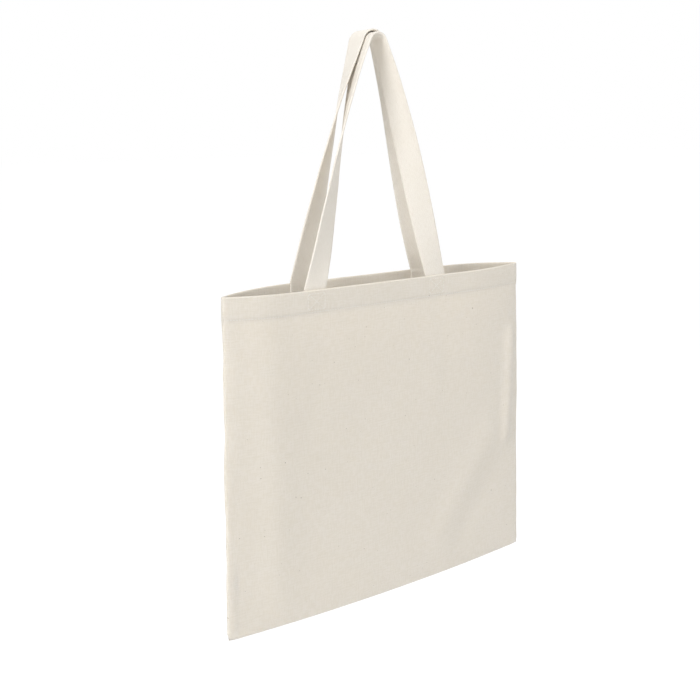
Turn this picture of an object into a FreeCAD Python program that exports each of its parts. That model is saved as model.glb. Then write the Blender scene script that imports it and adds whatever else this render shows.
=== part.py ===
"""Canvas tote bag, hanging by its two long web handles.

Frame: +X runs along the mouth, the front panel faces -Y, +Z is up.
The origin is the underside of the handles' crown, where a peg or a hand carries the bag.
All sizes are in millimetres.
"""
import FreeCAD, Part

import math
import os
import re

import Sketcher

Vector = FreeCAD.Vector

SIZES = [
    # the two cloth panels
    ("seam_width", 398, "width along the bottom seam"),
    ("mouth_width", 376, "width from side seam to side seam at the mouth"),
    ("panel_height", 350, "bottom fold to the top of the back hem"),
    ("front_drop", 4, "how much lower the front hem hangs than the back one"),
    ("cloth", 0.8, "thickness of one layer of canvas"),
    ("hem_depth", 25, "depth of the turned hem"),
    ("front_bow", 8, "how far the front hem stands out at the straps"),
    ("back_bow", 20, "how far the back hem stands out at the straps"),
    ("bottom_bow", 7, "how far the bottom seam curves towards the front"),
    ("allowance", 10, "width of the seam allowances inside the bag"),
    ("seam_ease", 0.5, "air between an allowance and the cloth beside it"),
    ("fold", 1, "width of the fold that joins an allowance to its panel"),
    # where the bag hangs from the crown of its handles
    ("bag_x", 14, "middle of the bag, to the right of the crown"),
    ("bag_y", -3, "plane of the side seams, in front of the crown"),
    ("handle_rise", 239, "back hem to the underside of the crown"),
    # the web handles
    ("strap_width", 25, "width of the webbing"),
    ("strap_thick", 1.8, "thickness of the webbing"),
    ("strap_spacing", 153, "between the middles of the two ends of a handle"),
    ("strap_x", 0, "middle of the strap ends, to the right of the crown"),
    ("strap_margin", 2, "straight hem beside each outer strap edge"),
    ("crown_radius", 9, "inside radius of the front handle at its crown"),
    ("crown_lap", 8.5, "how far the back handle lies behind the front one"),
    ("crown_lean", 21, "lean of the legs where the crown begins, in degrees"),
    ("foot_lean", 16.5, "lean of the legs where they leave the hem, in degrees"),
    ("crown_gap", 1.3, "air between the two handles at the crown"),
    ("hinge_gap", 0.3, "air between a sewn end and its free handle"),
    # sewing
    ("thread", 0.3, "how far a stitch stands proud"),
    ("thread_width", 0.6, "width of a row of stitching"),
    ("hem_stitch", 3.5, "hem stitch row above the folded edge"),
    ("box_width", 19, "width of the boxed cross that holds a strap end"),
    ("box_height", 16, "height of the boxed cross"),
    ("box_inset", 3, "boxed cross below the top of the hem"),
    ("seam_stitch", 2, "seam stitch row inside the fold"),
    ("overlock", 4, "width of the overlocked edge"),
]
NAMES = {name for name, _, _ in SIZES}

# formulas that several pieces share
HEM = "(3 * cloth)"
FLAT = "(strap_spacing / 2 + abs(bag_x - strap_x) + strap_width / 2 + strap_margin)"
WALL = "(2 * cloth + seam_ease)"
BOTTOM = "(-handle_rise - panel_height)"
HALF_SEAM = "(seam_width / 2)"
HALF_MOUTH = "(mouth_width / 2)"
SAG = "(-bottom_bow)"
SAG_RADIUS = f"(({HALF_SEAM} - {FLAT})^2 + bottom_bow^2) / (2 * bottom_bow)"
CORNER = "(allowance + seam_ease)"
SIDE_START = f"({BOTTOM} + allowance + 2 * thread)"
ALLOWANCE_TOP = "(-handle_rise - front_drop - hem_depth - seam_ease)"
LEG_POINTS = 24
CROWN_POINTS = 15

doc = FreeCAD.newDocument("canvas_tote_bag")
sheet = doc.addObject("Spreadsheet::Sheet", "Sizes")
for row, (alias, number, words) in enumerate(SIZES, start=1):
    sheet.set(f"A{row}", str(number))
    sheet.setAlias(f"A{row}", alias)
    sheet.set(f"B{row}", words)
doc.recompute()
nodes = []


def bound(formula):
    """Put the sheet's name before each size in a formula."""
    return re.sub(r"[a-z_]+", lambda word: "Sizes." * (word[0] in NAMES) + word[0], formula)


def value(formula):
    """What a formula on the sheet's sizes comes to."""
    return float(sheet.evalExpression(bound(formula)))


def size(alias):
    """The number in the sheet's cell of that name."""
    return float(sheet.get(alias))


def bind(item, path, formula):
    """Tie one property of an object to a formula on the sheet's sizes."""
    item.setExpression(path, bound(formula))


def node(item):
    """Keep an object as a piece of the bag under its own name."""
    item.Label = item.Name
    nodes.append(item)
    return item


def arc_between(start, end, level, bow, radius):
    """The arc from start to end that runs level at whichever end is named by `level`."""
    at = end if level == "end" else start
    centre = Vector(at.x, at.y - math.copysign(radius, bow), 0)
    angles = [math.atan2(p.y - centre.y, p.x - centre.x) for p in (start, end)]
    turn = (angles[1] - angles[0] + math.pi) % (2 * math.pi) - math.pi
    circle = Part.Circle(centre, Vector(0, 0, 1), radius)
    if turn > 0:
        return Part.ArcOfCircle(circle, angles[0], angles[0] + turn), (1, 2)
    return Part.ArcOfCircle(circle, angles[1], angles[1] - turn), (2, 1)


def draw(sketch, corners, arcs=None):
    """Draw one closed loop whose corners are pairs of formulas; arcs are keyed by edge."""
    arcs = arcs or {}
    points = [Vector(value(x), value(y), 0) for x, y in corners]
    first = sketch.GeometryCount
    ends = []
    for i, point in enumerate(points):
        after = points[(i + 1) % len(points)]
        if i in arcs:
            level, bow, radius = arcs[i]
            edge, order = arc_between(point, after, level, value(bow), value(radius))
        else:
            edge, order = Part.LineSegment(point, after), (1, 2)
        sketch.addGeometry(edge, False)
        ends.append(order)
    for i, (x, y) in enumerate(corners):
        edge = first + i
        before = first + (i - 1) % len(corners)
        sketch.addConstraint(
            Sketcher.Constraint("Coincident", before, ends[i - 1][1], edge, ends[i][0]))
        for kind, formula in (("DistanceX", x), ("DistanceY", y)):
            number = sketch.addConstraint(
                Sketcher.Constraint(kind, -1, 1, edge, ends[i][0], value(formula)))
            if not formula.replace(".", "").isdigit():
                bind(sketch, f"Constraints[{number}]", formula)
        if i in arcs:
            number = sketch.addConstraint(Sketcher.Constraint("Radius", edge, value(arcs[i][2])))
            bind(sketch, f"Constraints[{number}]", arcs[i][2])


def level_sketch(body, name, height, corners, arcs=None):
    """A level sketch in a body, measured from the bag's middle and side seam plane."""
    sketch = body.newObject("Sketcher::SketchObject", name)
    plane = [f for f in body.Origin.OriginFeatures if f.Role == "XY_Plane"][0]
    sketch.AttachmentSupport = (plane, [""])
    sketch.MapMode = "FlatFace"
    for axis, formula in (("x", "bag_x"), ("y", "bag_y"), ("z", height)):
        bind(sketch, f"AttachmentOffset.Base.{axis}", formula)
    draw(sketch, corners, arcs)
    return sketch


def pad(body, name, sketch, length):
    """Raise a level sketch by a formula's length."""
    feature = body.newObject("PartDesign::Pad", name)
    feature.Profile = sketch
    bind(feature, "Length", length)
    return feature


def loft(body, name, low, high):
    """Join a low and a high sketch with straight walls."""
    feature = body.newObject("PartDesign::AdditiveLoft", name)
    feature.Profile = low
    feature.Sections = [high]
    feature.Ruled = True
    return feature


def ribbon(half, near, far, bow, radius=None, shift="0"):
    """A level strip of cloth: straight past the straps, curved from there to both ends.

    `near` and `far` are its two faces, `bow` how far its middle stands out, and `shift`
    how far its ends already do.
    """
    corners = [(f"-{half}", f"{near} + {shift}"), (f"-{FLAT}", f"{near} + {bow}"),
               (FLAT, f"{near} + {bow}"), (half, f"{near} + {shift}"),
               (half, f"{far} + {shift}"), (FLAT, f"{far} + {bow}"),
               (f"-{FLAT}", f"{far} + {bow}"), (f"-{half}", f"{far} + {shift}")]
    radius = radius or f"(({half} - {FLAT})^2 + ({bow})^2) / (2 * abs({bow}))"
    arcs = {0: ("end", bow, radius), 2: ("start", bow, radius),
            4: ("end", bow, radius), 6: ("start", bow, radius)}
    return corners, arcs


def seam_ribbon(near, far, short):
    """A ribbon along the bottom seam that stops short of both side seams."""
    half = f"({HALF_SEAM} - {short})"
    shift = f"({SAG} + {SAG_RADIUS} - sqrt(({SAG_RADIUS})^2 - ({half} - {FLAT})^2))"
    return ribbon(half, near, far, SAG, SAG_RADIUS, shift)


def side_section(hand, height, depths, faces):
    """Corners of a level section through the cloth or thread inside a side seam.

    `depths` are distances in from the seam, `faces` distances to its back, in pairs. The
    section leans with the curve of the bottom seam.
    """
    share = f"(({ALLOWANCE_TOP} - {height}) / ({ALLOWANCE_TOP} - {BOTTOM}))"
    half = f"({HALF_MOUTH} + ({HALF_SEAM} - {HALF_MOUTH}) * {share})"
    slope = f"(2 * bottom_bow / ({HALF_SEAM} - {FLAT}))"
    return [(f"{hand}({half} - ({depth}))", f"{face} - {slope} * ({depth})")
            for depth, face in zip(depths, faces)]


def side_piece(body, name, hand, depths, faces, low):
    """Cloth or thread that runs up the inside of a side seam, from a height to the hem."""
    ends = [level_sketch(body, f"{name}_{at}", height, side_section(hand, height, depths, faces))
            for at, height in (("low", low), ("high", ALLOWANCE_TOP))]
    loft(body, name, *ends)


def panel(name, side, bow, drop):
    """One cloth panel: wall, turned hem, and the three allowances folded into the bag.

    `side` is -1 for the front and 1 for the back, and `drop` lowers its hem.
    """
    body = doc.addObject("PartDesign::Body", name)
    out = f"{side} *"
    top = f"(-handle_rise - {drop})"
    hem_low = f"({top} - hem_depth)"
    low = level_sketch(body, f"{name}_low", BOTTOM,
                       *ribbon(HALF_SEAM, f"{out} {WALL}", f"{out} ({WALL} - cloth)", SAG))
    high = level_sketch(body, f"{name}_high", hem_low,
                        *ribbon(HALF_MOUTH, f"{out} {HEM}", f"{out} ({HEM} - cloth)", bow))
    loft(body, f"{name}_wall", low, high)
    hem = level_sketch(body, f"{name}_hem_line", hem_low,
                       *ribbon(HALF_MOUTH, f"{out} {HEM}", "0 * cloth", bow))
    pad(body, f"{name}_hem", hem, "hem_depth")
    for what, reach in (("fold", f"({WALL} - cloth / 2)"), ("allowance", "cloth")):
        line = level_sketch(body, f"{name}_{what}_line", BOTTOM,
                            *seam_ribbon(f"{out} {reach}", "0 * cloth", CORNER))
        pad(body, f"{name}_{what}", line, what)
    depths = ("allowance", "0", "0", "fold", "fold", "allowance")
    reach = f"{out} ({WALL} - cloth / 2)"
    faces = ("0", "0", reach, reach, f"{out} cloth", f"{out} cloth")
    for hand, label in (("-", "left"), ("", "right")):
        side_piece(body, f"{name}_{label}_allowance", hand, depths, faces, BOTTOM)
    return node(body)


def handle_path(layer):
    """Middle line of a handle as (distance, point, lean) from its left foot to its right.

    Each leg is a Bezier curve from the hem to the crown, and the crown is an arc.
    `layer` is 0 for the front handle and 1 for the back one, which lies over it.
    """
    thick = size("strap_thick")
    lift = layer * (thick + size("crown_gap"))
    radius = size("crown_radius") + thick / 2 + lift
    crown = Vector(0, (layer - 0.5) * size("crown_lap"), thick / 2 + lift)
    centre = crown - Vector(0, 0, radius)
    lean = math.radians(size("crown_lean"))
    foot_lean = math.radians(size("foot_lean"))
    foot_y, foot_z = foot_line(layer)
    legs = []
    for side in (-1, 1):
        foot = Vector(size("strap_x") + side * size("strap_spacing") / 2, foot_y, foot_z)
        head = centre + Vector(side * math.cos(lean), 0, math.sin(lean)) * radius
        reach = (head.z - foot.z) / 3
        low = foot + Vector(-side * math.tan(foot_lean) * reach, 0, reach)
        high = head - Vector(-side * math.tan(lean) * reach, 0, reach)
        curve = Part.BezierCurve()
        curve.setPoles([foot, low, high, head])
        legs.append([curve.value(i / LEG_POINTS) for i in range(LEG_POINTS)])
    sweep = math.pi - 2 * lean
    arc = []
    for i in range(CROWN_POINTS):
        angle = math.pi - lean - sweep * i / (CROWN_POINTS - 1)
        arc.append(centre + Vector(math.cos(angle), 0, math.sin(angle)) * radius)
    return legs[0] + arc + legs[1][::-1]


def foot_line(layer):
    """Where a handle's legs start: against the inside of its hem, just clear of the top."""
    side, bow, drop = (1, "back_bow", 0) if layer else (-1, "front_bow", size("front_drop"))
    across = size("bag_y") + side * (size(bow) - size("strap_thick") / 2)
    return across, -size("handle_rise") - drop + size("hinge_gap")


def handle(name, layer):
    """A free web handle: flat along the hem at its feet, a quarter turn round at its crown."""
    path = handle_path(layer)
    steps = [0]
    for before, after in zip(path, path[1:]):
        steps.append(steps[-1] + (after - before).Length)
    foot_end = steps[LEG_POINTS]
    crown_end = steps[LEG_POINTS + CROWN_POINTS - 1]
    sections = []
    for i, (point, along) in enumerate(zip(path, steps)):
        before, after = path[max(i - 1, 0)], path[min(i + 1, len(path) - 1)]
        way = Vector(after.x - before.x, 0, after.z - before.z).normalize()
        if i in (0, len(path) - 1):
            way = Vector(0, 0, 1 if i == 0 else -1)
        outward = Vector(-way.z, 0, way.x)
        if along < foot_end:
            turn = (1 - along / foot_end) * math.pi / 2
        elif along > crown_end:
            turn = (along - crown_end) / (steps[-1] - crown_end) * math.pi / 2
        else:
            turn = 0
        face = outward * math.cos(turn) + Vector(0, 1, 0) * math.sin(turn)
        edge = way.cross(face)
        half_edge = edge * (size("strap_width") / 2)
        half_face = face * (size("strap_thick") / 2)
        corners = [point + half_edge + half_face, point - half_edge + half_face,
                   point - half_edge - half_face, point + half_edge - half_face]
        sections.append(Part.makePolygon(corners + corners[:1]))
    item = doc.addObject("Part::Feature", name)
    item.Shape = Part.makeLoft(sections, True, True)
    return node(item)


def sewn_end(name, side, bow, drop, hand):
    """The end of a handle that lies inside the hem, as deep as the hem."""
    box = doc.addObject("Part::Box", name)
    bind(box, "Length", "strap_width")
    bind(box, "Width", "strap_thick")
    bind(box, "Height", "hem_depth")
    bind(box, "Placement.Base.x", f"strap_x + {hand} * strap_spacing / 2 - strap_width / 2")
    near = f"bag_y + {side} * {bow}"
    bind(box, "Placement.Base.y", near if side < 0 else f"{near} - strap_thick")
    bind(box, "Placement.Base.z", f"-handle_rise - {drop} - hem_depth")
    return node(box)


def upright_sketch(name, x, y, z):
    """A sketch that faces -Y, with its own zero at the point that three formulas give."""
    sketch = doc.addObject("Sketcher::SketchObject", name)
    sketch.Placement.Rotation = FreeCAD.Rotation(Vector(1, 0, 0), 90)
    for axis, formula in (("x", x), ("y", y), ("z", z)):
        bind(sketch, f"Placement.Base.{axis}", formula)
    return sketch


def boxed_cross(name, side, bow, drop, hand):
    """Box of stitches with a cross in it, seen on the hem's face and on the strap's."""
    wide, tall, thin = "box_width / 2", "box_height / 2", "thread_width"
    slope = "(box_width / box_height)"
    middle_z = f"-handle_rise - {drop} - box_inset - box_height / 2"
    middle_x = f"strap_x + {hand} * strap_spacing / 2"
    outer = f"bag_y + {side} * ({bow} + {HEM})"
    inner = f"bag_y + {side} * ({bow} - strap_thick)"
    faces = []
    for label, y, facing in (("face", outer, side), ("lining", inner, -side)):
        sketch = upright_sketch(f"{name}_{label}_lines", middle_x, y, middle_z)
        draw(sketch, [(f"-{wide}", f"-{tall}"), (wide, f"-{tall}"), (wide, tall),
                      (f"-{wide}", tall)])
        for way in ("", "-"):
            draw(sketch, [(f"{way}({wide} - {thin})", f"-({tall} - 2 * {thin})"),
                          (f"{way}({wide} - {thin})", f"({tall} - 2 * {thin})"),
                          (f"{way}({slope} * {thin})", "0 * thread")])
            draw(sketch, [(f"-({wide} - 2 * {slope} * {thin})", f"{way}({tall} - {thin})"),
                          (f"({wide} - 2 * {slope} * {thin})", f"{way}({tall} - {thin})"),
                          ("0 * thread", f"{way}({slope} * {thin})")])
        raised = doc.addObject("Part::Extrusion", f"{name}_{label}")
        raised.Base = sketch
        raised.DirMode = "Custom"
        raised.Dir = Vector(0, facing, 0)
        raised.Solid = True
        bind(raised, "LengthFwd", "thread")
        faces.append(raised)
    return together(name, faces)


def hem_thread(name, side, bow, drop):
    """The row of stitching that holds the hem, along the panel's outside."""
    body = doc.addObject("PartDesign::Body", name)
    lines = ribbon(HALF_MOUTH, f"{side} * {HEM}", f"{side} * ({HEM} + thread)", bow)
    sketch = level_sketch(body, f"{name}_line",
                          f"-handle_rise - {drop} - hem_depth + hem_stitch", *lines)
    pad(body, f"{name}_row", sketch, "thread_width")
    return node(body)


def side_thread(name, hand):
    """The seam's stitching, on both faces of the two allowances at one side."""
    rows = []
    for side, label in ((-1, "needle"), (1, "bobbin")):
        body = doc.addObject("PartDesign::Body", f"{name}_{label}")
        depths = ("seam_stitch + thread_width", "seam_stitch")
        faces = (f"{side} * cloth", f"{side} * (cloth + thread)")
        side_piece(body, f"{body.Name}_row", hand, depths + depths[::-1],
                   (faces[0], faces[0], faces[1], faces[1]), SIDE_START)
        rows.append(body)
    return together(name, rows)


def side_overlock(name, hand):
    """The overlocking that wraps the raw edge of the two allowances at one side."""
    body = doc.addObject("PartDesign::Body", name)
    inside, outside = "allowance - overlock", "allowance + thread"
    depths = (inside, outside, outside, inside, inside, "allowance", "allowance", inside)
    rise = "cloth + thread"
    faces = (f"-({rise})", f"-({rise})", rise, rise, "1 * cloth", "1 * cloth", "-cloth", "-cloth")
    side_piece(body, f"{name}_edge", hand, depths, faces, SIDE_START)
    return node(body)


def bottom_thread(name):
    """The bottom seam's stitching, on both faces of its two allowances."""
    rows = []
    for side, label in ((-1, "needle"), (1, "bobbin")):
        body = doc.addObject("PartDesign::Body", f"{name}_{label}")
        lines = seam_ribbon(f"{side} * cloth", f"{side} * (cloth + thread)", CORNER)
        sketch = level_sketch(body, f"{body.Name}_line", f"{BOTTOM} + seam_stitch", *lines)
        pad(body, f"{body.Name}_row", sketch, "thread_width")
        rows.append(body)
    return together(name, rows)


def bottom_overlock(name):
    """The overlocking that wraps the raw edge of the bottom seam's two allowances."""
    body = doc.addObject("PartDesign::Body", name)
    rise = "(cloth + thread)"
    edge = f"{BOTTOM} + allowance"
    cap = level_sketch(body, f"{name}_cap_line", edge,
                       *seam_ribbon(f"-{rise}", rise, "(2 * allowance)"))
    pad(body, f"{name}_cap", cap, "thread")
    for side, label in ((-1, "front"), (1, "back")):
        face = level_sketch(body, f"{name}_{label}_line", f"{edge} - overlock",
                            *seam_ribbon(f"{side} * cloth", f"{side} * {rise}",
                                         "(2 * allowance)"))
        pad(body, f"{name}_{label}", face, "overlock + thread")
    return node(body)


def together(name, pieces):
    """One node of several separate solids."""
    group = doc.addObject("Part::Compound", name)
    group.Links = pieces
    return node(group)


for layer, (where, side, bow, drop) in enumerate((("front", -1, "front_bow", "front_drop"),
                                                  ("back", 1, "back_bow", "0"))):
    panel(f"{where}_panel", side, f"({side} * {bow})", drop)
    hem_thread(f"{where}_hem_thread", side, f"({side} * {bow})", drop)
    handle(f"{where}_handle", layer)
    for label, hand in (("left", -1), ("right", 1)):
        sewn_end(f"{where}_handle_{label}_end", side, bow, drop, hand)
        boxed_cross(f"{where}_{label}_cross_stitch", side, bow, drop, hand)
for label, hand in (("left", "-"), ("right", "")):
    side_thread(f"{label}_seam_thread", hand)
    side_overlock(f"{label}_overlock_thread", hand)
bottom_thread("bottom_seam_thread")
bottom_overlock("bottom_overlock_thread")

doc.recompute()
for item in doc.Objects:
    if {"Invalid", "Error"} & set(item.State):
        raise RuntimeError(f"{item.Name} failed: {item.State}")
for item in nodes:
    if item.Shape.isNull() or not item.Shape.isValid():
        raise RuntimeError(f"{item.Name} has no valid shape")
os.makedirs("parts", exist_ok=True)
for item in nodes:
    item.Shape.exportStep(f"parts/{item.Label}.step")
    print(item.Label, len(item.Shape.Solids), round(item.Shape.Volume, 1))
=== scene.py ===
"""Canvas tote bag hanging by its two web handles.

Laid out as an add-on: sizes and colours are properties, every group of pieces has its own
operator, and main() runs them in order. Lengths are in metres, and the places come from the
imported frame, whose origin is the underside of the handles' crown.
"""
import math

import bmesh
import bpy
from bpy.props import FloatProperty, FloatVectorProperty, PointerProperty
from mathutils import Matrix, Vector, noise


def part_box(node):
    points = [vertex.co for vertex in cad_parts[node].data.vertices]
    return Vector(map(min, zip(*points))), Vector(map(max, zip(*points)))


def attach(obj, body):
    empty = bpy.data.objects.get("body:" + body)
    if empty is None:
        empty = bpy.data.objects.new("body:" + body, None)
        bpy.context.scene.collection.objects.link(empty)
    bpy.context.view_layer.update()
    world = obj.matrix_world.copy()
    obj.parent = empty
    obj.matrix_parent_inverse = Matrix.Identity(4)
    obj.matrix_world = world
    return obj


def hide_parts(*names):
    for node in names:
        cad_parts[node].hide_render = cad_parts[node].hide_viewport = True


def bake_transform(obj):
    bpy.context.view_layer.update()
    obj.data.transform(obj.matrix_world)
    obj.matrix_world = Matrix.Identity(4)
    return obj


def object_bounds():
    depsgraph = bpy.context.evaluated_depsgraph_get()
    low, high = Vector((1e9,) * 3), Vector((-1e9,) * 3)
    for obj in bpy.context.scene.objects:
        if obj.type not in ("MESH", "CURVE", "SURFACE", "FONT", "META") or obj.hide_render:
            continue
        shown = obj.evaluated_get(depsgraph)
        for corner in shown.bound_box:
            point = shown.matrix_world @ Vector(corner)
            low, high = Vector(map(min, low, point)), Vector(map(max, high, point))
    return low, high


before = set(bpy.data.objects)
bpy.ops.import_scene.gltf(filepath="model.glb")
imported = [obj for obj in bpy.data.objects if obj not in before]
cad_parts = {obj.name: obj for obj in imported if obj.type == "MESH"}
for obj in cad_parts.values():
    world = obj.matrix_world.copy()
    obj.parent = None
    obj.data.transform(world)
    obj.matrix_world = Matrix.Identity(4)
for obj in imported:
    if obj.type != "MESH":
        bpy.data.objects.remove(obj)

CAD_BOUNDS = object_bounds()

bl_info = {
    "name": "Canvas tote bag",
    "version": (1, 0, 0),
    "blender": (4, 5, 0),
    "location": "3D View > Sidebar > Tote bag",
    "description": "Builds a canvas tote bag that hangs by its web handles",
    "category": "Object",
}

MM = 0.001

COLUMNS = 220            # across a panel
EDGE_STEPS = 5           # columns or rows in the roll at a seam
BODY_ROWS = 80           # up a panel, below its hem
HEM_ROWS = 18            # up the outside of a hem
FOLD_ROWS = 6            # round the folded top of a hem
INSIDE_ROWS = 12         # down the inside of a hem
TUCK_ROWS = 3            # in the cloth turned under
STITCH_LIFT = 0.10 * MM  # of a stitch's middle above the cloth
OVERLOCK_PITCH = 2.4 * MM
FLOOR_DROP = 0.30        # from the bottom seam to the floor
FLOOR_REACH = 40.0       # so that the floor's edge is never in view
LAMP_AIM = (0.02, 0, -0.35)
LAMPS = (                # name, place, size, power
    ("Key", (-2.2, -0.75, 0.5), 0.9, 32.0),
    ("Fill", (1.3, -1.9, 0.1), 1.8, 5.0),
    ("Top", (0.2, -0.7, 1.5), 1.2, 13.0),
    ("Back", (0.9, 1.7, 0.6), 1.4, 22.0),
)


# ---------------------------------------------------------------- sizes and colours


def length(name, description, default):
    """A length property in metres."""
    return FloatProperty(name=name, description=description, default=default, unit="LENGTH",
                         precision=5, min=0.0)


def colour(name, description, default):
    """A linear colour property."""
    return FloatVectorProperty(name=name, description=description, default=default,
                               subtype="COLOR", size=3, min=0.0, max=1.0)


PANEL_LOW, PANEL_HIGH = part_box("back_panel")
FRONT_LOW, FRONT_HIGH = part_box("front_panel")
STRAP_LOW, STRAP_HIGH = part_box("front_handle_left_end")
HEM_TOP = {-1: FRONT_HIGH.z, 1: PANEL_HIGH.z}


class ToteCloth(bpy.types.PropertyGroup):
    """Sizes of the two cloth panels."""

    cloth: length("Cloth", "Thickness of one layer of canvas", 0.8 * MM)
    mouth: length("Mouth width", "Side seam to side seam at the mouth", 376 * MM)
    hem: length("Hem depth", "Depth of the turned hem", STRAP_HIGH.z - STRAP_LOW.z)
    tuck: length("Hem tuck", "Cloth turned under inside the hem", 9 * MM)
    front_bow: length("Front bow", "How far the front hem stands out at the straps", 8 * MM)
    back_bow: length("Back bow", "How far the back hem stands out at the straps", 20 * MM)
    bottom_bow: length("Bottom bow", "How far the bottom seam curves forwards", 7 * MM)
    flat: length("Straight hem", "Half the straight middle of each hem", 105 * MM)
    allowance: length("Allowance", "Width of the seam allowances", 10 * MM)
    seam_round: length("Seam roll", "How far from a seam the cloth starts to roll in", 3.2 * MM)
    corner: length("Corner", "Radius of the two bottom corners", 7 * MM)
    end_lift: length("Hem end", "Height of the hems where they meet, under the back hem", 2 * MM)


class ToteHandles(bpy.types.PropertyGroup):
    """Sizes of the two web handles."""

    width: length("Width", "Width of the webbing", STRAP_HIGH.x - STRAP_LOW.x)
    thick: length("Thickness", "Thickness of the webbing", STRAP_HIGH.y - STRAP_LOW.y)
    rib: length("Rib", "Spacing of the ribs across the webbing", 1.5 * MM)
    crown_radius: length("Crown radius", "Inside radius of the front handle's crown", 9 * MM)
    crown_lap: length("Crown lap", "How far the back handle lies behind the front", 8.5 * MM)
    crown_gap: length("Crown gap", "Air between the two handles at the crown", 1.3 * MM)
    crown_lean: FloatProperty(name="Crown lean", description="Lean of the legs at the crown",
                              default=math.radians(21), subtype="ANGLE")
    foot_lean: FloatProperty(name="Foot lean", description="Lean of the legs at the hem",
                             default=math.radians(16.5), subtype="ANGLE")


class ToteSewing(bpy.types.PropertyGroup):
    """Sizes of the stitching."""

    thread: length("Thread", "Thickness of the sewing thread", 0.7 * MM)
    pitch: length("Pitch", "Spacing of the stitches", 3.0 * MM)
    hem_row: length("Hem row", "Stitch row above the hem's folded edge", 3.5 * MM)
    box_width: length("Box width", "Width of the boxed cross", 19 * MM)
    box_height: length("Box height", "Height of the boxed cross", 16 * MM)
    box_inset: length("Box inset", "Boxed cross below the top of the hem", 3 * MM)
    seam_row: length("Seam row", "Seam stitches inside the fold", 2 * MM)
    overlock: length("Overlock", "Width of the overlocked edge", 4 * MM)


class ToteColours(bpy.types.PropertyGroup):
    """Colours of the cloth, webbing and thread."""

    canvas: colour("Canvas", "Unbleached cotton canvas", (0.82, 0.755, 0.668))
    # Also darkened to 0.7 for the painted shade between the canvas yarns
    slub: colour("Slub", "Thicker, yellower yarns in the canvas", (0.74, 0.67, 0.56))
    fleck: colour("Fleck", "Seed flecks in the cotton", (0.26, 0.20, 0.14))
    webbing: colour("Webbing", "Cotton webbing", (0.90, 0.86, 0.79))
    # Painted shade between the webbing's ribs; also the colour of darker fibres in the webbing and
    # the thread's twist
    groove_shade_and_fibre: colour("Groove", "Between the ribs of the webbing", (0.60, 0.53, 0.43))
    thread: colour("Thread", "Sewing thread", (0.90, 0.87, 0.81))
    floor: colour("Floor", "Plain studio floor", (0.9, 0.9, 0.9))


GROUPS = {"tote_cloth": ToteCloth, "tote_handles": ToteHandles, "tote_sewing": ToteSewing,
          "tote_colours": ToteColours}


# ---------------------------------------------------------------- shape of the cloth


def mix(a, b, share):
    """The value a share of the way from a to b."""
    return a + (b - a) * share


def ease(value, low, high):
    """0 below low, 1 above high, smooth in between."""
    t = min(max((value - low) / (high - low), 0.0), 1.0)
    return t * t * (3 - 2 * t)


class Panel:
    """Shape of one cloth panel. `side` is -1 for the front and 1 for the back."""

    def __init__(self, side):
        self.side = side
        self.c = bpy.context.scene.tote_cloth
        self.name = "front_panel" if side < 0 else "back_panel"
        self.middle = (FRONT_LOW.x + FRONT_HIGH.x) / 2
        self.half_seam = (FRONT_HIGH.x - FRONT_LOW.x) / 2
        self.half_mouth = self.c.mouth / 2
        self.bottom = PANEL_LOW.z
        self.top = HEM_TOP[side]
        self.height = self.top - self.bottom
        self.bow = side * (self.c.front_bow if side < 0 else self.c.back_bow)
        layers = 3 * self.c.cloth
        self.plane = (FRONT_LOW.y if side < 0 else PANEL_HIGH.y) - self.bow - side * layers
        self.fold = self.c.cloth

    def hem_line(self, across):
        """1 along the straight middle of the hem, falling to 0 at the side seams."""
        flat = self.c.flat / self.half_mouth
        return 1 - max(0.0, (abs(across) - flat) / (1 - flat)) ** 1.9

    def seam_roll(self, distance):
        """0 on a seam, 1 where the cloth has left it."""
        t = min(distance / self.c.seam_round, 1.0)
        return math.sqrt(max(0.0, 1 - (1 - t) ** 2))

    def outside(self, across, up):
        """Middle of the outer layer, from the side fraction and the height up the cloth."""
        c = self.c
        v = up / self.height
        corner = max(0.0, 1 - up / c.corner)
        half = mix(self.half_seam, self.half_mouth, v)
        half -= c.corner * (1 - math.sqrt(max(0.0, 1 - corner * corner)))
        half += edge_wave(math.copysign(1, across), up)
        x = across * half
        roll = self.seam_roll(half - abs(x)) * self.seam_roll(up)
        low_y = -c.bottom_bow * (1 - abs(across) ** 2.2)
        high_y = self.bow * self.hem_line(across)
        layer = mix(2 * c.cloth, 2.5 * c.cloth, ease(v, 0.9, 1.0)) - c.cloth / 2
        y = mix(low_y, high_y, v ** 1.1) + self.side * (c.cloth / 2 + layer * roll)
        ends = (PANEL_HIGH.z - c.end_lift - self.top) * (1 - self.hem_line(across))
        z = self.bottom + up + v * ends - bottom_sag(across) * (1 - v) ** 3
        fade = ease(half - abs(x), 0, 0.012) * ease(up, 0, 0.01)
        y += self.side * fade * soft_folds(self.side, x, up, self.height)
        y += self.side * seam_puckers(self.side, x, half, up)
        return Vector((self.middle + x, self.plane + y, z))

    def at(self, across, up):
        """Middle of the sheet. Past the top it turns down inside, and then under."""
        r = self.fold
        top = self.height
        inward, height = 0.0, up
        if up > top - r:
            angle = (up - (top - r)) / r
            if angle < math.pi:
                inward, height = r * (1 - math.cos(angle)), top - r + r * math.sin(angle)
            else:
                down = up - (top - r) - math.pi * r
                inward, height = 2 * r, top - r - down
                left = down - (self.c.hem - r)
                if left > 0:
                    turn = min(left / (r / 2), math.pi)
                    inward = 2 * r - (r / 2) * (1 - math.cos(turn))
                    low = top - self.c.hem
                    height = low - (r / 2) * math.sin(turn) + max(0.0, left - math.pi * r / 2)
        point = self.outside(across, min(height, top))
        return point + Vector((0, -self.side * inward, 0))

    def face(self, across, height, inward):
        """A point on the hem at a depth inward from the middle of its outer layer."""
        return self.outside(across, height) + Vector((0, -self.side * inward, 0))


def edge_wave(hand, up):
    """How the side seams waver, alike on both panels."""
    wave = noise.noise(Vector((hand * 3.1, up * 14, 0.3))) * 1.8
    wave += noise.noise(Vector((hand * 7.7, up * 42, 1.9))) * 0.9
    return wave * MM


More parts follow.
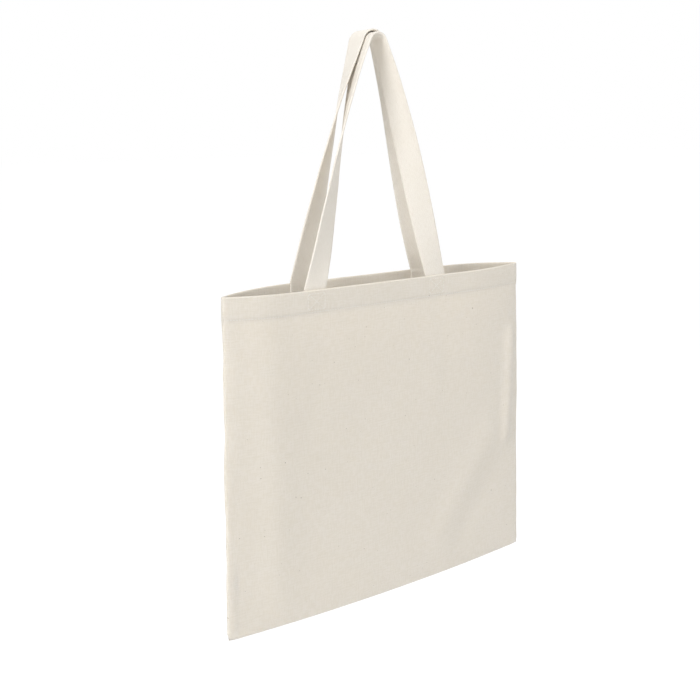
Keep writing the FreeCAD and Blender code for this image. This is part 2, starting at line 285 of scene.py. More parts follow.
def bottom_sag(across):
    """How far the bottom seam hangs under a straight line."""
    return 1.2 * MM * (1 - across * across)


# ridges and hollows in the cloth: (side, x, height share, x, height share, half width, rise)
FOLDS = (
    (-1, 0.168, 0.34, 0.095, 0.08, 0.016, -0.8),
    (-1, 0.145, 0.44, 0.065, 0.14, 0.024, 2.2),
    (-1, 0.176, 0.76, 0.172, 0.42, 0.010, 3.4),
    (-1, -0.145, 0.95, -0.140, 0.10, 0.030, 2.6),
    (-1, 0.065, 0.93, 0.080, 0.62, 0.014, -0.5),
    (-1, -0.085, 0.93, -0.100, 0.60, 0.015, -0.5),
    (-1, -0.190, 0.30, -0.120, 0.02, 0.018, 0.6),
    (1, 0.075, 0.93, 0.110, 0.40, 0.020, -0.9),
    (1, -0.085, 0.93, -0.125, 0.45, 0.022, -0.9),
    (1, -0.150, 0.50, -0.060, 0.08, 0.024, 0.8),
    (1, 0.160, 0.45, 0.150, 0.10, 0.022, 0.8),
)


def soft_folds(side, x, up, height):
    """How far the cloth stands out: slow waves and a few soft folds."""
    rise = noise.noise(Vector((x * 9, up * 5, side * 4.7))) * 1.8
    rise += noise.noise(Vector((x * 26, up * 17, side * 9.1))) * 0.5
    rise += noise.noise(Vector((x * 70, up * 48, side * 2.3))) * 0.10
    for which, x0, v0, x1, v1, half, tall in FOLDS:
        if which != side:
            continue
        start, end = Vector((x0, v0 * height)), Vector((x1, v1 * height))
        along = end - start
        here = Vector((x, up)) - start
        share = here.dot(along) / along.length_squared
        near = (here - along * min(max(share, 0.0), 1.0)).length / half
        if near < 3:
            rise += tall * math.exp(-near * near * 1.6)
    return rise * MM


def seam_puckers(side, x, half, up):
    """Small gathers beside the side seams."""
    distance = half - abs(x)
    if distance > 0.03:
        return 0.0
    hand = math.copysign(1, x)
    wave = noise.noise(Vector((hand * 5.3, up * 60, side * 3.3)))
    return 1.2 * MM * (wave + 0.3) * math.exp(-distance / 0.011) * ease(distance, 0.001, 0.006)


def hem_puckers(panel, across, up):
    """Gathers along the hem's row of stitches."""
    row = panel.height - panel.c.hem + bpy.context.scene.tote_sewing.hem_row
    near = math.exp(-((up - row) / 0.0022) ** 2)
    x = across * panel.half_mouth
    return -0.35 * MM * near * (1 + 0.8 * noise.noise(Vector((x * 160, 0.2, panel.side))))


# ---------------------------------------------------------------- shape of the handles


class Handle:
    """Path and turn of one handle's webbing. `layer` is 0 for the front and 1 for the back."""

    def __init__(self, layer):
        h = bpy.context.scene.tote_handles
        cloth = bpy.context.scene.tote_cloth
        self.h = h
        self.layer = layer
        self.name = "back" if layer else "front"
        self.hem = cloth.hem
        self.turn_power = 1.25 if layer else 1.0
        left, right = (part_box(f"{self.name}_handle_{hand}_end") for hand in ("left", "right"))
        lift = layer * (h.thick + h.crown_gap)
        radius = h.crown_radius + h.thick / 2 + lift
        crown = Vector((0, (layer - 0.5) * h.crown_lap, h.thick / 2 + lift))
        centre = crown - Vector((0, 0, radius))
        self.legs = []
        for low, high, hand in ((*left, -1), (*right, 1)):
            foot = Vector(((low.x + high.x) / 2, (low.y + high.y) / 2, high.z))
            head = centre + radius * Vector((hand * math.cos(h.crown_lean), 0,
                                             math.sin(h.crown_lean)))
            reach = (head.z - foot.z) / 3
            self.legs.append((foot, foot + Vector((-hand * math.tan(h.foot_lean), 0, 1)) * reach,
                              head - Vector((-hand * math.tan(h.crown_lean), 0, 1)) * reach,
                              head))
        self.centre, self.radius = centre, radius
        self.samples = self.walk()

    def walk(self):
        """Closely spaced (distance, point, leg share) from one raw end to the other.

        The leg share is 0 at the left hem, 1 round the crown and 2 at the right hem.
        """
        steps, arc_steps = 160, 40
        points = []
        foot = self.legs[0][0]
        points += [(foot + Vector((0, 0, -self.hem * (1 - i / 20))), 0.0) for i in range(20)]
        points += [(bezier(self.legs[0], i / steps), i / steps) for i in range(steps)]
        sweep = math.pi - 2 * self.h.crown_lean
        for i in range(arc_steps + 1):
            angle = math.pi - self.h.crown_lean - sweep * i / arc_steps
            points.append((self.centre + self.radius * Vector(
                (math.cos(angle), 0, math.sin(angle))), 1.0))
        points += [(bezier(self.legs[1], 1 - i / steps), 2 - (1 - i / steps))
                   for i in range(1, steps + 1)]
        foot = self.legs[1][0]
        points += [(foot + Vector((0, 0, -self.hem * i / 20)), 2.0) for i in range(1, 21)]
        samples, far = [], 0.0
        for i, (point, share) in enumerate(points):
            far += (point - points[i - 1][0]).length if i else 0.0
            samples.append((far, point, share))
        return samples

    @property
    def length(self):
        """Length of the webbing from raw end to raw end."""
        return self.samples[-1][0]

    def frame_at(self, along):
        """(point, edge direction, outward face direction) at a distance along the webbing."""
        s = self.samples
        i = min(max(int(along / self.length * (len(s) - 1)), 1), len(s) - 1)
        while i > 1 and s[i - 1][0] > along:
            i -= 1
        while i < len(s) - 1 and s[i][0] < along:
            i += 1
        share = (along - s[i - 1][0]) / max(s[i][0] - s[i - 1][0], 1e-9)
        point = s[i - 1][1].lerp(s[i][1], share)
        leg = mix(s[i - 1][2], s[i][2], share)
        ahead, behind = s[min(i + 2, len(s) - 1)][1], s[max(i - 3, 0)][1]
        way = Vector((ahead.x - behind.x, 0, ahead.z - behind.z)).normalized()
        outward = Vector((-way.z, 0, way.x))
        up = 1 - abs(leg - 1)
        turn = (1 - up ** self.turn_power) * math.pi / 2
        face = outward * math.cos(turn) + Vector((0, 1, 0)) * math.sin(turn)
        return point, way.cross(face), face, up


def bezier(poles, t):
    """A point on a cubic Bezier curve."""
    a, b, c, d = poles
    s = 1 - t
    return a * s ** 3 + b * (3 * s * s * t) + c * (3 * s * t * t) + d * t ** 3


# ---------------------------------------------------------------- meshes


def new_mesh(name, bm, smooth=True):
    """Turn a bmesh into a linked object at the origin."""
    mesh = bpy.data.meshes.new(name)
    bmesh.ops.recalc_face_normals(bm, faces=bm.faces)
    bm.to_mesh(mesh)
    bm.free()
    for polygon in mesh.polygons:
        polygon.use_smooth = smooth
    obj = bpy.data.objects.new(name, mesh)
    bpy.context.scene.collection.objects.link(obj)
    return obj


def spread(count, low, high, fine, edge):
    """Positions from low to high that crowd together over a short edge at each end."""
    close = [edge * (1 - math.cos(math.pi / 2 * i / fine)) for i in range(fine)]
    inner = [mix(low + edge, high - edge, i / (count - 1)) for i in range(count)]
    return [low + c for c in close] + inner + [high - c for c in reversed(close)]


def shaped_grid(bm, columns, rows, place, uv=None):
    """Add a grid whose corners go where place(column, row) says, with UVs in metres."""
    made = bmesh.ops.create_grid(bm, x_segments=len(columns) - 1, y_segments=len(rows) - 1,
                                 size=1.0)["verts"]
    layer = bm.loops.layers.uv.get("UVMap") or bm.loops.layers.uv.new("UVMap")
    spots = {}
    for vert in made:
        i = round((vert.co.x + 1) / 2 * (len(columns) - 1))
        j = round((vert.co.y + 1) / 2 * (len(rows) - 1))
        spots[vert] = (columns[i], rows[j])
    for face in {f for v in made for f in v.link_faces}:
        for loop in face.loops:
            column, row = spots[loop.vert]
            loop[layer].uv = uv(column, row) if uv else (column, row)
    for vert, (column, row) in spots.items():
        vert.co = place(column, row)
    return made


def add_stitch(bm, start, end, thick, lift):
    """One stitch: a slim six-sided bead that lies from start to end, raised by lift."""
    bead = bpy.data.meshes.get("stitch_bead")
    if not bead:
        bead = bpy.data.meshes.new("stitch_bead")
        ball = bmesh.new()
        bmesh.ops.create_uvsphere(ball, u_segments=6, v_segments=5, radius=1.0)
        ball.to_mesh(bead)
        ball.free()
    way = end - start
    turn = way.to_track_quat("Z", "Y").to_matrix().to_4x4()
    scale = Matrix.Diagonal((thick / 2, thick / 2, way.length / 2 * 0.98, 1))
    placed = bead.copy()
    placed.transform(Matrix.Translation((start + end) / 2 + lift) @ turn @ scale)
    bm.from_mesh(placed)
    bpy.data.meshes.remove(placed)


def solidify(obj, thickness):
    """Give a sheet its thickness, half to each side."""
    modifier = obj.modifiers.new("Cloth thickness", "SOLIDIFY")
    modifier.thickness = thickness
    modifier.offset = 0.0
    modifier.use_even_offset = False


# ---------------------------------------------------------------- materials


class Sock:
    """A node socket or number that takes part in arithmetic by adding Math nodes."""

    def __init__(self, made, out):
        self.made = made
        self.out = out

    def math(self, operation, *others):
        return self.made.add("ShaderNodeMath", {"operation": operation}, self, *others)

    def __add__(self, other):
        return self.math("ADD", other)

    def __sub__(self, other):
        return self.math("SUBTRACT", other)

    def __mul__(self, other):
        return self.math("MULTIPLY", other)

    def __truediv__(self, other):
        return self.math("DIVIDE", other)

    def __rsub__(self, other):
        return self.made.add("ShaderNodeMath", {"operation": "SUBTRACT"}, other, self)

    __radd__ = __add__
    __rmul__ = __mul__


class Shader:
    """Node tree of one material."""

    def __init__(self, name):
        self.material = bpy.data.materials.new(name)
        self.material.use_nodes = True
        self.tree = self.material.node_tree
        self.surface = self.tree.nodes["Principled BSDF"]

    def add(self, kind, settings, *values, **named):
        """Add a node: settings first, then the values or links of its sockets."""
        node = self.tree.nodes.new(kind)
        for key, setting in settings.items():
            setattr(node, key, setting)
        for key, entry in list(enumerate(values)) + list(named.items()):
            socket = node.inputs[key]
            if isinstance(entry, Sock):
                self.tree.links.new(entry.out, socket)
            else:
                socket.default_value = entry
        enabled = [out for out in node.outputs if out.enabled]
        return Sock(self, enabled[0])

    def colour(self, factor, a, b):
        """A colour the factor's way from a to b."""
        node = self.tree.nodes.new("ShaderNodeMix")
        node.data_type = "RGBA"
        for socket, entry in zip((node.inputs[0], node.inputs[6], node.inputs[7]), (factor, a, b)):
            if isinstance(entry, Sock):
                self.tree.links.new(entry.out, socket)
            else:
                socket.default_value = entry if isinstance(entry, float) else (*entry, 1.0)
        return Sock(self, node.outputs[2])

    def uv(self):
        """The piece's UV map as (vector, u, v), in metres."""
        vector = self.add("ShaderNodeUVMap", {"uv_map": "UVMap"})
        split = self.tree.nodes.new("ShaderNodeSeparateXYZ")
        self.tree.links.new(vector.out, split.inputs[0])
        return vector, Sock(self, split.outputs[0]), Sock(self, split.outputs[1])

    def stretched(self, vector, x, y, z=1.0):
        """A vector scaled along each axis."""
        return self.add("ShaderNodeVectorMath", {"operation": "MULTIPLY"}, vector, (x, y, z))

    def noise(self, vector, scale, detail=2.0):
        """Smooth noise from 0 to 1."""
        return self.add("ShaderNodeTexNoise", {}, Vector=vector, Scale=scale, Detail=detail)

    def range(self, value, low, high, first=0.0, last=1.0):
        """A value spread from low..high to first..last, smooth and clamped."""
        return self.add("ShaderNodeMapRange", {"interpolation_type": "SMOOTHSTEP"},
                        value, low, high, first, last)

    def finish(self, base, roughness, height, depth, **fixed):
        """Link the surface's sockets and set the fixed ones."""
        bump = self.add("ShaderNodeBump", {}, Strength=1.0, Distance=depth, Height=height)
        for name, entry in (("Base Color", base), ("Roughness", roughness), ("Normal", bump)):
            self.tree.links.new(entry.out, self.surface.inputs[name])
        for name, entry in fixed.items():
            self.surface.inputs[name.replace("_", " ")].default_value = entry
        return self.material


def canvas_material():
    """Plain-woven unbleached cotton: yarns, slubs, seed flecks, faint clouding and painted shade
    between the yarns.
    """
    c = bpy.context.scene.tote_colours
    yarn = 0.62 * MM
    s = Shader("Unbleached canvas")
    vector, u, v = s.uv()
    cells = [x / yarn for x in (u, v)]
    inside = [x.math("FRACT") - 0.5 for x in cells]
    round_u, round_v = [(x * math.pi).math("COSINE") for x in inside]
    parity = ((cells[0].math("FLOOR") + cells[1].math("FLOOR")) * 0.5).math("FRACT") * 2.0
    warp = round_u * (round_v * 0.35 + 0.65)
    weft = round_v * (round_u * 0.35 + 0.65)
    weave = warp * parity + weft * (1 - parity)
    warp_slub = s.noise(s.stretched(vector, 1 / (2.2 * MM), 1 / (38 * MM)), 1.0)
    weft_slub = s.noise(s.stretched(vector, 1 / (38 * MM), 1 / (2.2 * MM)), 1.0)
    fine_slub = s.noise(s.stretched(vector, 1 / (9 * MM), 1 / (1.5 * MM)), 1.0)
    fine_warp = s.noise(s.stretched(vector, 1 / (1.5 * MM), 1 / (9 * MM)), 1.0)
    thick = s.range(warp_slub, 0.56, 0.72) + s.range(weft_slub, 0.56, 0.72)
    cloud = s.noise(vector, 14.0, 3.0)
    fleck = s.range(s.noise(vector, 330.0, 1.0), 0.772, 0.80)
    base = s.colour(s.range(cloud, 0.3, 0.7, 0.0, 0.25), tuple(c.canvas),
                    tuple(mix(a, b, 0.5) for a, b in zip(c.canvas, c.slub)))
    base = s.colour((thick * 0.22).math("MINIMUM", 0.4), base, tuple(c.slub))
    threads = (fine_slub + fine_warp) * 0.5
    base = s.colour(s.range(threads, 0.40, 0.60, 0.0, 0.5), base, tuple(c.slub))
    # Painted shade: darker where the weave dips between the yarns
    base = s.colour((1 - weave) * 0.16, base, tuple(0.7 * x for x in c.slub))
    base = s.colour(fleck * 0.65, base, tuple(c.fleck))
    height = weave * 0.6 + thick * 0.25 + threads * 0.35
    rough = s.range(weave, 0.0, 1.0, 0.97, 0.88)
    return s.finish(base, rough, height, 0.16 * MM, Sheen_Weight=0.18, Sheen_Roughness=0.6,
                    Specular_IOR_Level=0.25, Subsurface_Weight=0.5, Subsurface_Scale=2 * MM,
                    Subsurface_Radius=(1.0, 0.95, 0.85))


def webbing_material():
    """Cotton webbing: crosswise ribs of short yarns, with painted shade between them."""
    c = bpy.context.scene.tote_colours
    rib = bpy.context.scene.tote_handles.rib
    s = Shader("Cotton webbing")
    vector, u, v = s.uv()
    yarn = 0.75 * MM
    lane = (u / yarn).math("FRACT") - 0.5
    shift = ((u / yarn).math("FLOOR") * 0.5).math("FRACT")
    ribs = ((v / rib + shift).math("FRACT") - 0.5) * math.pi
    bead = ribs.math("COSINE") * ((lane * math.pi).math("COSINE") * 0.5 + 0.5)
    fibre = s.noise(s.stretched(vector, 1 / (0.5 * MM), 1 / (5 * MM)), 1.0)
    cloud = s.noise(vector, 40.0, 2.0)
    # Painted shade: the webbing darkens towards the groove colour in the recesses between the ribs
    base = s.colour(s.range(bead, 0.05, 0.6, 0.55, 0.0), tuple(c.webbing), tuple(c.groove_shade_and_fibre))
    base = s.colour(s.range(fibre, 0.35, 0.7, 0.0, 0.2), base, tuple(c.groove_shade_and_fibre))
    base = s.colour(s.range(cloud, 0.3, 0.7, 0.0, 0.12), base, tuple(c.slub))
    rough = s.range(bead, 0.0, 1.0, 0.96, 0.86)
    return s.finish(base, rough, bead + fibre * 0.3, 0.2 * MM, Sheen_Weight=0.18,
                    Sheen_Roughness=0.6, Specular_IOR_Level=0.25)


def thread_material():
    """Matt cotton thread with a fine twist."""
    c = bpy.context.scene.tote_colours
    s = Shader("Sewing thread")
    place = s.add("ShaderNodeTexCoord", {})
    place = Sock(s, place.out.node.outputs["Object"])
    twist = s.noise(s.stretched(place, 2600.0, 2600.0, 2600.0), 1.0, 1.0)
    base = s.colour(s.range(twist, 0.35, 0.65, 0.0, 0.4), tuple(c.thread), tuple(c.groove_shade_and_fibre))
    rough = s.range(twist, 0.3, 0.7, 0.9, 0.75)
    return s.finish(base, rough, twist, 0.05 * MM, Sheen_Weight=0.1, Specular_IOR_Level=0.3)


def shared(name, make):
    """A material that is made once and used by several pieces."""
    return bpy.data.materials.get(name) or make()


def dress(obj, name, make):
    """Put a material on a piece."""
    obj.data.materials.append(shared(name, make))


# ---------------------------------------------------------------- operators


class TOTE_OT_panels(bpy.types.Operator):
    """Make both cloth panels, with their turned hems and seam allowances."""

    bl_idname = "tote.panels"
    bl_label = "Cloth panels"

    def execute(self, context):
        for side in (-1, 1):
            panel = Panel(side)
            bm = bmesh.new()
            self.sheet(bm, panel)
            self.allowances(bm, panel)
            obj = new_mesh(f"{panel.name}_cloth", bm)
            solidify(obj, 0.92 * panel.c.cloth)
            dress(obj, "Unbleached canvas", canvas_material)
            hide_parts(panel.name)
            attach(obj, "bag")
            cut = (2 * (panel.half_seam + panel.c.allowance),
                   panel.height + panel.c.hem + panel.c.tuck + panel.c.allowance)
        return {"FINISHED"}

    @staticmethod
    def sheet(bm, panel):
        """The face of the panel and its hem, as one piece of cloth."""
        c = panel.c
        edge = c.seam_round / panel.half_seam
        columns = spread(COLUMNS, -1, 1, EDGE_STEPS, edge)
        low_hem = panel.height - c.hem
        fold = math.pi * panel.fold
        rows = [c.seam_round * (1 - math.cos(math.pi / 2 * i / EDGE_STEPS))
                for i in range(EDGE_STEPS)]
        rows += [mix(c.seam_round, low_hem, i / BODY_ROWS) for i in range(BODY_ROWS)]
        rows += [mix(low_hem, panel.height - panel.fold, i / HEM_ROWS) for i in range(HEM_ROWS)]
        start = panel.height - panel.fold
        rows += [start + fold * i / FOLD_ROWS for i in range(FOLD_ROWS)]
        inside = start + fold
        under = inside + c.hem - panel.fold
        rows += [mix(inside, under, i / INSIDE_ROWS) for i in range(INSIDE_ROWS)]
        rows += [under + fold / 2 * i / TUCK_ROWS for i in range(TUCK_ROWS)]
        rows += [under + fold / 2 + c.tuck * i / TUCK_ROWS for i in range(TUCK_ROWS + 1)]
        shaped_grid(bm, columns, rows, lambda a, up: panel.at(a, up) + Vector(
            (0, panel.side * hem_puckers(panel, a, min(up, 2 * panel.height - up)), 0)),
            lambda a, up: (a * panel.half_seam, up))

    @staticmethod
    def allowances(bm, panel):
        """The strips of cloth that lie inside the bag beside its three seams."""
        c = panel.c
        depths = [0.6 * MM + c.allowance * i / 4 for i in range(5)]
        top = panel.height - c.hem - 1 * MM
        ups = [mix(0.5 * MM, top, i / 60) for i in range(61)]
        for hand in (-1, 1):
            shaped_grid(bm, depths, ups, lambda depth, up, hand=hand: side_seam(
                panel, hand, up, depth, panel.side * c.cloth / 2))
        across = [mix(-0.9, 0.9, i / 90) for i in range(91)]
        shaped_grid(bm, across, depths, lambda a, depth: bottom_seam(
            panel, a, depth, panel.side * c.cloth / 2), lambda a, depth: (a * 0.2, depth))


def side_seam(panel, hand, up, depth, across_seam):
    """A point on the allowances inside a side seam."""
    v = up / panel.height
    half = mix(panel.half_seam, panel.half_mouth, v) + edge_wave(hand, up)
    lean = -2 * panel.c.bottom_bow * depth / (panel.half_seam - panel.c.flat)
    return Vector((panel.middle + hand * (half - depth), panel.plane + lean + across_seam,
                   panel.bottom + up))


def bottom_seam(panel, across, up, across_seam):
    """A point on the allowances inside the bottom seam."""
    return Vector((panel.middle + across * panel.half_seam,
                   panel.plane - panel.c.bottom_bow * (1 - abs(across) ** 2.2) + across_seam,
                   panel.bottom + up - bottom_sag(across)))


class TOTE_OT_handles(bpy.types.Operator):
    """Make both web handles, each one length of webbing from raw end to raw end."""

    bl_idname = "tote.handles"
    bl_label = "Web handles"

    def execute(self, context):
        for layer in (0, 1):
            handle = Handle(layer)
            bm = bmesh.new()
            self.webbing(bm, handle)
            obj = new_mesh(f"{handle.name}_handle_webbing", bm)
            dress(obj, "Cotton webbing", webbing_material)
            name = f"{handle.name}_handle"
            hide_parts(name, f"{name}_left_end", f"{name}_right_end")
            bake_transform(obj)
        return {"FINISHED"}

    @staticmethod
    def webbing(bm, handle):
        """A flat woven tape with raised ribs and beaded selvedges."""
        h = handle.h
        half, thin = h.width / 2, h.thick / 2
        profile = []
        for step in range(11):
            profile.append((mix(-half + thin, half - thin, step / 10), 1.0))
        for step in range(1, 4):
            profile.append((half - thin, math.cos(math.pi * step / 4),
                            math.sin(math.pi * step / 4)))
        for step in range(11):
            profile.append((mix(half - thin, -half + thin, step / 10), -1.0))
        for step in range(1, 4):
            profile.append((-half + thin, -math.cos(math.pi * step / 4),
                            -math.sin(math.pi * step / 4)))
        count = len(profile)
        rows = round(handle.length / (h.rib / 3))
        alongs = [handle.length * i / rows for i in range(rows + 1)]
        frames = {along: handle.frame_at(along) for along in alongs}

        def place(i, along):
            point, edge, face, up = frames[along]
            spot = profile[round(i) % count]
            wide = spot[0]
            rib = math.cos(2 * math.pi * along / h.rib + 2.2 * abs(wide / half))
            bead = 1.0 + 0.12 * math.exp(-((half - abs(wide)) / (1.6 * MM)) ** 2)
            deep = thin * bead * (1 + 0.07 * rib) * spot[1]
            if len(spot) == 3:
                wide += thin * bead * (1 + 0.10 * rib) * spot[2]
            free = ease(up, 0.0, 0.04)
            wobble = noise.noise(Vector((along * 22, handle.layer * 5.0, 0.7))) * 0.5 * MM
            cup = webbing_cup(along, up) * (1 - (spot[0] / half) ** 2)
            return point + edge * wide + face * (deep + free * (wobble + cup))

        shaped_grid(bm, list(range(count + 1)), alongs, place,
                    lambda i, along: (profile_width(profile, i), along))
        bmesh.ops.remove_doubles(bm, verts=bm.verts, dist=1e-6)
        bmesh.ops.holes_fill(bm, edges=[e for e in bm.edges if e.is_boundary], sides=0)


def webbing_cup(along, up):
    """How far the middle of the webbing bows out of its edges."""
    return 0.9 * MM * math.exp(-((up - 0.09) / 0.06) ** 2) * (1 if along < 0.3 else -0.7)


def profile_width(profile, i):
    """Distance round the webbing's section, for its UVs."""
    i = int(round(i))
    spot = profile[i % len(profile)]
    side = spot[2] * 1 * MM if len(spot) == 3 else 0
    return spot[0] + side


def stitch_path(bm, points, lift, context, gap=0.22):
    """Stitches end to end along a list of points, with a small gap between them."""
    sewing = context.scene.tote_sewing
    far = [0.0]
    for a, b in zip(points, points[1:]):
        far.append(far[-1] + (b - a).length)
    count = max(1, round(far[-1] / sewing.pitch))
    place = 0

    def spot(distance):
        nonlocal place
        while place < len(far) - 2 and far[place + 1] < distance:
            place += 1
        share = (distance - far[place]) / max(far[place + 1] - far[place], 1e-9)
        return points[place].lerp(points[place + 1], share)

    for i in range(count):
        start = spot(far[-1] * (i + gap / 2) / count)
        end = spot(far[-1] * (i + 1 - gap / 2) / count)
        add_stitch(bm, start, end, sewing.thread, lift)


def sewn(name, bm, node):
    """Finish a piece of stitching that stands for one node."""
    obj = new_mesh(name, bm)
    dress(obj, "Sewing thread", thread_material)
    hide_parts(node)
    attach(obj, "bag")


class TOTE_OT_hem_stitches(bpy.types.Operator):
    """Sew both hems with one row of stitches, seen outside and inside."""

    bl_idname = "tote.hem_stitches"
    bl_label = "Hem stitches"

    def execute(self, context):
        sewing = context.scene.tote_sewing
        for side in (-1, 1):
            panel = Panel(side)
            height = panel.height - panel.c.hem + sewing.hem_row
            bm = bmesh.new()
            stations = [mix(-0.985, 0.985, i / 240) for i in range(241)]
            for inward, out in ((-0.5, 1), (2.5, -1)):
                points = [panel.face(a, height, inward * panel.c.cloth) + Vector(
                    (0, side * hem_puckers(panel, a, height), 0)) for a in stations]
                stitch_path(bm, points, Vector((0, out * side * STITCH_LIFT, 0)), context)
            sewn(f"{panel.name}_hem_stitches", bm, panel.name.replace("panel", "hem_thread"))
        return {"FINISHED"}


class TOTE_OT_cross_stitches(bpy.types.Operator):
    """Sew each strap end with a box of stitches and a cross in it."""

    bl_idname = "tote.cross_stitches"
    bl_label = "Boxed crosses"

    def execute(self, context):
        sewing = context.scene.tote_sewing
        thick = context.scene.tote_handles.thick
        for side in (-1, 1):
            panel = Panel(side)
            where = "front" if side < 0 else "back"
            for hand in ("left", "right"):
                low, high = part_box(f"{where}_handle_{hand}_end")
                x = (low.x + high.x) / 2 - panel.middle
                top = panel.height - sewing.box_inset
                wide, tall = sewing.box_width / 2, sewing.box_height
                corners = [(x - wide, top - tall), (x + wide, top - tall), (x + wide, top),
                           (x - wide, top)]
                lines = [(corners[i], corners[(i + 1) % 4]) for i in range(4)]
                lines += [(corners[0], corners[2]), (corners[1], corners[3])]
                bm = bmesh.new()
                reach = 2.5 * panel.c.cloth + thick
                for inward, out in ((-0.5 * panel.c.cloth, 1), (reach, -1)):
                    for (x0, h0), (x1, h1) in lines:
                        points = []
                        for i in range(13):
                            height = mix(h0, h1, i / 12)
                            half = mix(panel.half_seam, panel.half_mouth, height / panel.height)
                            points.append(panel.face(mix(x0, x1, i / 12) / half, height, inward))
                        stitch_path(bm, points, Vector((0, out * side * STITCH_LIFT, 0)), context)
                sewn(f"{where}_{hand}_box_stitches", bm, f"{where}_{hand}_cross_stitch")
        return {"FINISHED"}


class TOTE_OT_seam_stitches(bpy.types.Operator):
    """Sew the two side seams and the bottom seam, and overlock their raw edges."""

    bl_idname = "tote.seam_stitches"
    bl_label = "Seam stitches"

    def execute(self, context):
        sewing = context.scene.tote_sewing
        panel = Panel(-1)
        c = panel.c
        proud = c.cloth + 0.1 * MM
        ups = [mix(11 * MM, panel.height - c.hem - 2 * MM, i / 80) for i in range(81)]
        across = [mix(-0.88, 0.88, i / 80) for i in range(81)]
        for hand, label in ((-1, "left"), (1, "right")):
            bm, lock = bmesh.new(), bmesh.new()
            for face in (-1, 1):
                points = [side_seam(panel, hand, up, sewing.seam_row, face * proud) for up in ups]
                stitch_path(bm, points, Vector(), context)
            self.overlock(lock, context, lambda t, depth, face, hand=hand: side_seam(
                panel, hand, mix(ups[0], ups[-1], t), depth, face * proud), ups[-1] - ups[0])
            sewn(f"{label}_seam_stitches", bm, f"{label}_seam_thread")
            sewn(f"{label}_overlock_stitches", lock, f"{label}_overlock_thread")
        bm, lock = bmesh.new(), bmesh.new()
        for face in (-1, 1):
            points = [bottom_seam(panel, a, sewing.seam_row, face * proud) for a in across]
            stitch_path(bm, points, Vector(), context)
        self.overlock(lock, context, lambda t, depth, face: bottom_seam(
            panel, mix(across[0], across[-1], t), depth, face * proud), 1.7 * panel.half_seam)
        sewn("bottom_seam_stitches", bm, "bottom_seam_thread")
        sewn("bottom_overlock_stitches", lock, "bottom_overlock_thread")
        return {"FINISHED"}

    @staticmethod
    def overlock(bm, context, place, far):
        """Slanting loops over the raw edge, with a chain of thread along it."""
        sewing = context.scene.tote_sewing
        edge = context.scene.tote_cloth.allowance + 0.6 * MM
        count = round(far / OVERLOCK_PITCH)
        for i in range(count):
            t, after = i / count, (i + 0.5) / count
            for face in (-1, 1):
                add_stitch(bm, place(t, edge - sewing.overlock, face), place(after, edge, face),
                           sewing.thread * 0.8, Vector())
                add_stitch(bm, place(t, edge - sewing.overlock, face),
                           place(t + 1 / count, edge - sewing.overlock, face),
                           sewing.thread * 0.8, Vector())
            add_stitch(bm, place(after, edge + 0.2 * MM, -1), place(after, edge + 0.2 * MM, 1),
                       sewing.thread, Vector())


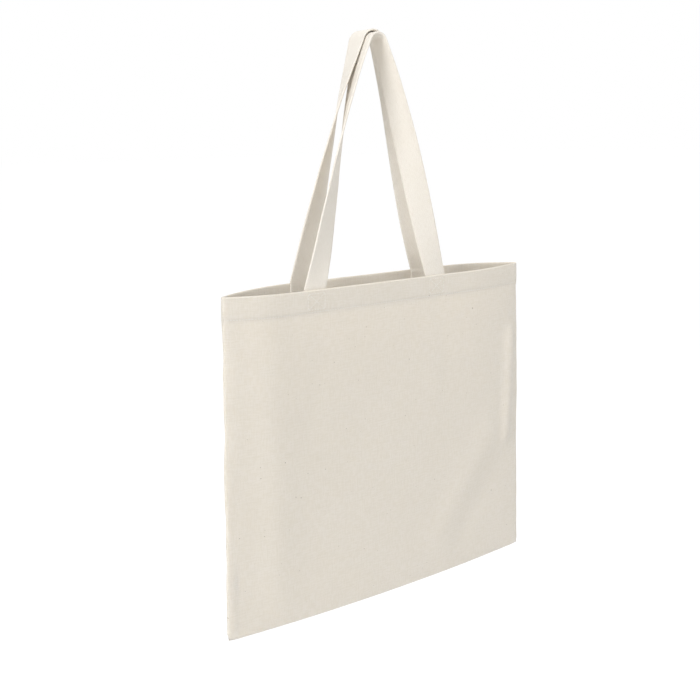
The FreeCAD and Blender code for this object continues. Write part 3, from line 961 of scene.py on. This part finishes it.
class TOTE_OT_stage(bpy.types.Operator):
    """Set up the floor, the lights and the camera."""

    bl_idname = "tote.stage"
    bl_label = "Stage"

    def execute(self, context):
        scene = context.scene
        scene.view_settings.view_transform = "Standard"
        self.floor(scene)
        self.world(scene)
        for name, place, size, power in LAMPS:
            self.lamp(scene, name, place, size, power)
        self.camera(scene)
        return {"FINISHED"}

    @staticmethod
    def floor(scene):
        """A wide pale floor below the hanging bag."""
        bm = bmesh.new()
        bmesh.ops.create_grid(bm, x_segments=1, y_segments=1, size=FLOOR_REACH)
        bmesh.ops.translate(bm, verts=bm.verts, vec=(0, 0, CAD_BOUNDS[0][2] - FLOOR_DROP))
        obj = new_mesh("studio_floor", bm, smooth=False)
        s = Shader("Studio floor")
        tint = scene.tote_colours.floor
        s.surface.inputs["Base Color"].default_value = (*tint, 1.0)
        s.surface.inputs["Roughness"].default_value = 0.9
        glow = s.tree.nodes.new("ShaderNodeEmission")
        rays = s.tree.nodes.new("ShaderNodeLightPath").outputs
        seen = Sock(s, rays["Is Camera Ray"]).math("MAXIMUM", Sock(s, rays["Is Glossy Ray"]))
        mixer = s.tree.nodes.new("ShaderNodeMixShader")
        s.tree.links.new((seen * 0.9).out, mixer.inputs[0])
        glow.inputs["Strength"].default_value = 1.06
        s.tree.links.new(s.surface.outputs[0], mixer.inputs[1])
        s.tree.links.new(glow.outputs[0], mixer.inputs[2])
        output = s.tree.nodes["Material Output"]
        s.tree.links.new(mixer.outputs[0], output.inputs["Surface"])
        obj.data.materials.append(s.material)

    @staticmethod
    def world(scene):
        """Even pale light from all round, and a white background."""
        world = bpy.data.worlds.new("Studio")
        scene.world = world
        world.use_nodes = True
        tree = world.node_tree
        back = tree.nodes["Background"]
        back.inputs["Color"].default_value = (1.0, 1.0, 1.0, 1.0)
        rays = tree.nodes.new("ShaderNodeLightPath").outputs
        level = tree.nodes.new("ShaderNodeMapRange")
        level.inputs["To Min"].default_value = 0.55
        level.inputs["To Max"].default_value = 1.0
        tree.links.new(rays["Is Camera Ray"], level.inputs["Value"])
        tree.links.new(level.outputs[0], back.inputs["Strength"])

    @staticmethod
    def lamp(scene, name, place, size, power):
        """A large soft lamp that faces the bag."""
        data = bpy.data.lights.new(name, "AREA")
        data.size = size
        data.energy = power
        obj = bpy.data.objects.new(name, data)
        obj.location = place
        aim = Vector(LAMP_AIM) - Vector(place)
        obj.rotation_euler = aim.to_track_quat("-Z", "Y").to_euler()
        scene.collection.objects.link(obj)

    @staticmethod
    def camera(scene):
        """The viewpoint: front left, slightly above the hem."""
        azimuth, elevation, roll = math.radians(-34.4), math.radians(12.7), math.radians(-1.0)
        target = Vector((-0.029, 0, -0.312))
        distance = 0.967
        data = bpy.data.cameras.new("Camera")
        data.lens = 48.1
        data.sensor_width = 36.0
        obj = bpy.data.objects.new("Camera", data)
        back = Vector((math.sin(azimuth) * math.cos(elevation),
                       -math.cos(azimuth) * math.cos(elevation), math.sin(elevation)))
        obj.location = target + back * distance
        turn = (-back).to_track_quat("-Z", "Y").to_matrix() @ Matrix.Rotation(roll, 3, "Z")
        obj.rotation_euler = turn.to_euler()
        scene.collection.objects.link(obj)
        scene.camera = obj


OPERATORS = (TOTE_OT_stage, TOTE_OT_panels, TOTE_OT_handles, TOTE_OT_hem_stitches,
             TOTE_OT_cross_stitches, TOTE_OT_seam_stitches)


class TOTE_PT_sidebar(bpy.types.Panel):
    """Lists the bag's operators and its sizes."""

    bl_idname = "TOTE_PT_sidebar"
    bl_label = "Canvas tote bag"
    bl_space_type = "VIEW_3D"
    bl_region_type = "UI"
    bl_category = "Tote bag"

    def draw(self, context):
        for operator in OPERATORS:
            self.layout.operator(operator.bl_idname)
        for group, kind in GROUPS.items():
            box = self.layout.box()
            for name in kind.__annotations__:
                box.prop(getattr(context.scene, group), name)


def register():
    """Register the classes and hang the properties on the scene."""
    for kind in (*GROUPS.values(), *OPERATORS, TOTE_PT_sidebar):
        bpy.utils.register_class(kind)
    for group, kind in GROUPS.items():
        setattr(bpy.types.Scene, group, PointerProperty(type=kind))


def unregister():
    """Undo register."""
    for group in GROUPS:
        delattr(bpy.types.Scene, group)
    for kind in (TOTE_PT_sidebar, *reversed(OPERATORS), *reversed(tuple(GROUPS.values()))):
        bpy.utils.unregister_class(kind)


def main():
    """Build everything."""
    register()
    bpy.ops.tote.stage()
    bpy.ops.tote.panels()
    bpy.ops.tote.handles()
    bpy.ops.tote.hem_stitches()
    bpy.ops.tote.cross_stitches()
    bpy.ops.tote.seam_stitches()


if __name__ == "__main__":
    main()
